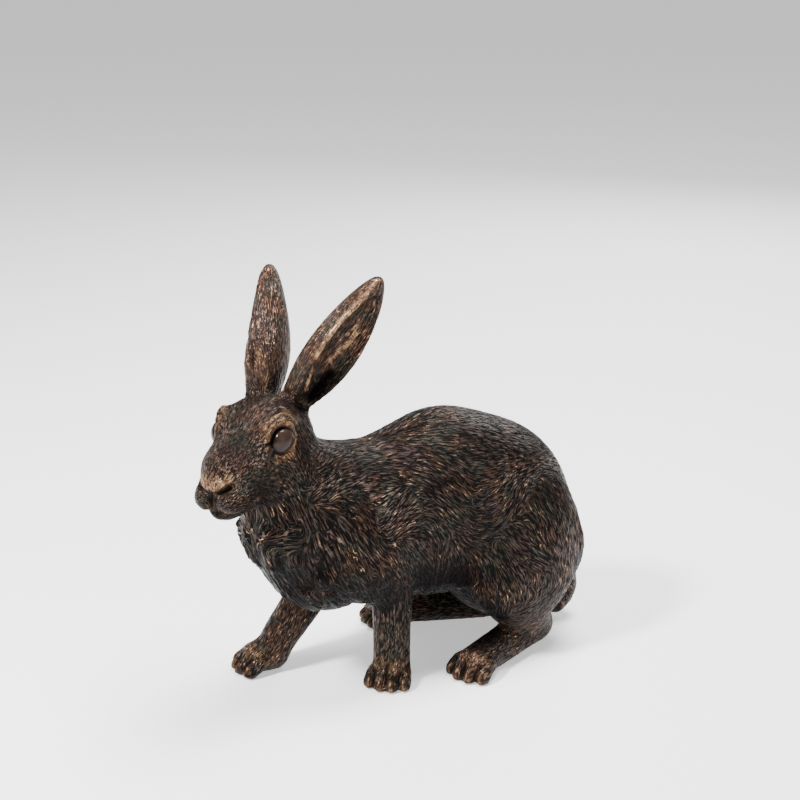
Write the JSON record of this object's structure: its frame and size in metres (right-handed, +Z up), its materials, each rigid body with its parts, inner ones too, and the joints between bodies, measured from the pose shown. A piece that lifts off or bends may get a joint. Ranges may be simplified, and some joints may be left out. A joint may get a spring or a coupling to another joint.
{
  "type": "rabbit garden statue",
  "caption": "Life-size cast bronze garden rabbit, alert on all four feet with its head turned, with chased fur, upright ears and a dark brown patina rubbed gold on its ridges.",
  "frame": {"origin": "on the ground under the middle of the statue's extent", "axes": "+Z up, the rabbit's body along Y with its nose towards -Y, +X towards its own left"},
  "size_m": [0.146, 0.3118, 0.2815],
  "materials": {
    "bronze": "dark brown patina over cast bronze, rubbed to gold and copper on the ridges, claws, nose and ear rims"
  },
  "bodies": {
    "root": {"rabbit": "bronze"}
  },
  "joints": []
}
